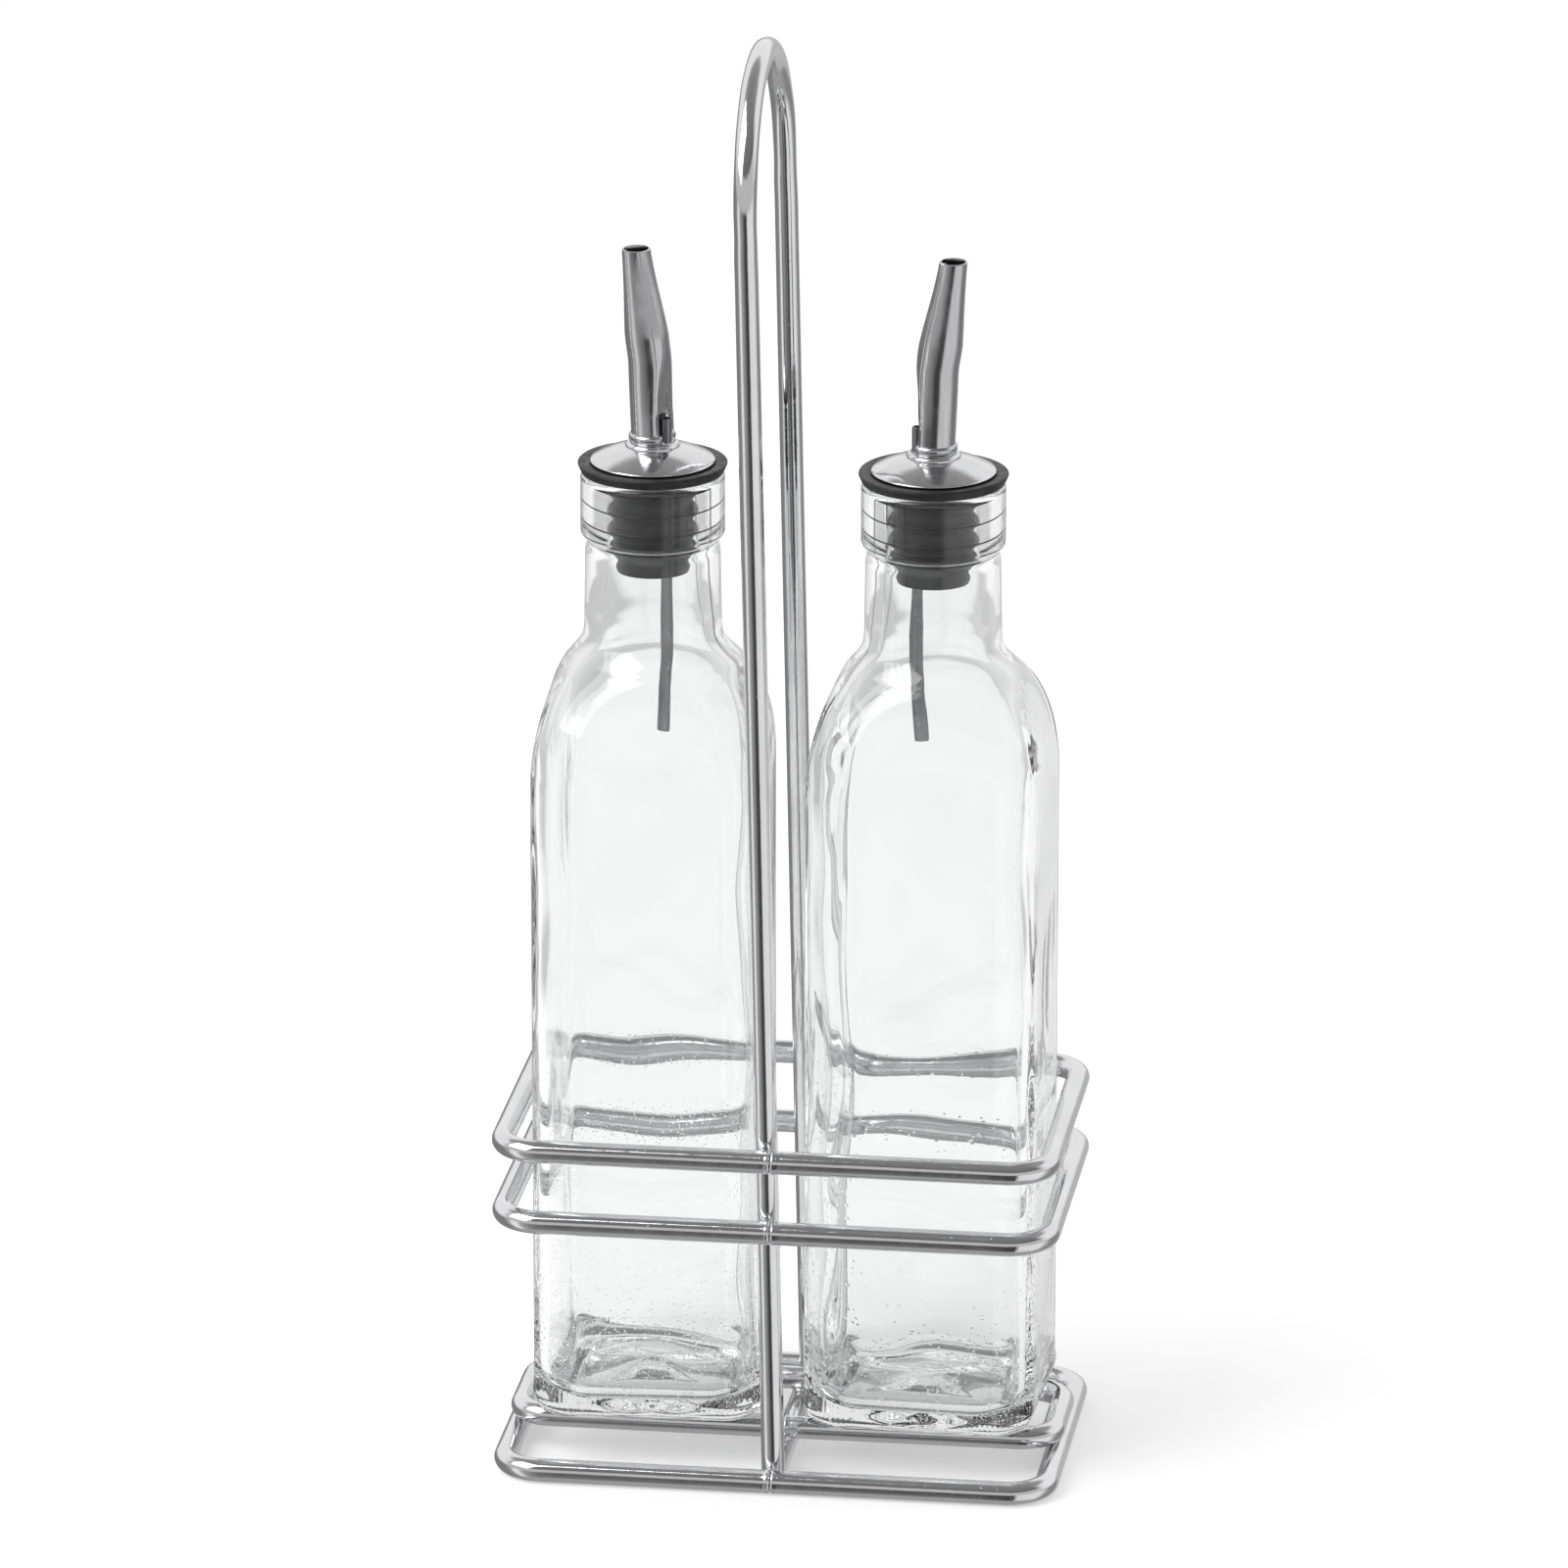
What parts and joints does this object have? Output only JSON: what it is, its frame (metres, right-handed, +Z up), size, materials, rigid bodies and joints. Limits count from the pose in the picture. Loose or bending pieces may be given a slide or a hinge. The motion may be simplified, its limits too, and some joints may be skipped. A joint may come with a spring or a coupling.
{
  "type": "cruet set",
  "caption": "Oil and vinegar cruet set: chrome wire rack with a tall hairpin handle, square clear glass bottles and bar-type pourers.",
  "frame": {"origin": "on the table, under the middle of the rack's rings", "axes": "+X along the rack's length to its right, +Y to its rear, +Z up"},
  "size_m": [0.1146, 0.0706, 0.2919],
  "materials": {
    "chrome_wire": "polished",
    "clear_glass": "clear",
    "stopper_rubber": "matte",
    "polished_steel": "polished",
    "satin_steel": "satin"
  },
  "bodies": {
    "rack": {"base_ring": "chrome_wire", "shelf_ring": "chrome_wire", "lower_guard_ring": "chrome_wire", "upper_guard_ring": "chrome_wire", "carry_handle": "chrome_wire", "cross_bar": "chrome_wire", "weld_beads": "chrome_wire"},
    "bottle_left": {"bottle_left": "clear_glass"},
    "stopper_left": {"stopper_left": "stopper_rubber"},
    "pourer_left": {"dome_cap_left": "polished_steel", "spout_left": "satin_steel", "air_tube_left": "satin_steel"},
    "bottle_right": {"bottle_right": "clear_glass"},
    "stopper_right": {"stopper_right": "stopper_rubber"},
    "pourer_right": {"dome_cap_right": "polished_steel", "spout_right": "satin_steel", "air_tube_right": "satin_steel"}
  },
  "joints": [
    {"name": "bottle_left_lift", "type": "slide", "parent": "rack", "child": "bottle_left", "axis": [0, 0, 1], "range_m": [0, 0.08]},
    {"name": "stopper_left_pull", "type": "slide", "parent": "bottle_left", "child": "stopper_left", "axis": [0, 0, 1], "range_m": [0, 0.06]},
    {"name": "pourer_left_turn", "type": "hinge", "parent": "stopper_left", "child": "pourer_left", "pos_m": [-0.0281, 0, 0.203], "axis": [0, 0, 1], "continuous": true},
    {"name": "bottle_right_lift", "type": "slide", "parent": "rack", "child": "bottle_right", "axis": [0, 0, 1], "range_m": [0, 0.08]},
    {"name": "stopper_right_pull", "type": "slide", "parent": "bottle_right", "child": "stopper_right", "axis": [0, 0, 1], "range_m": [0, 0.06]},
    {"name": "pourer_right_turn", "type": "hinge", "parent": "stopper_right", "child": "pourer_right", "pos_m": [0.0281, 0, 0.203], "axis": [0, 0, 1], "continuous": true}
  ]
}
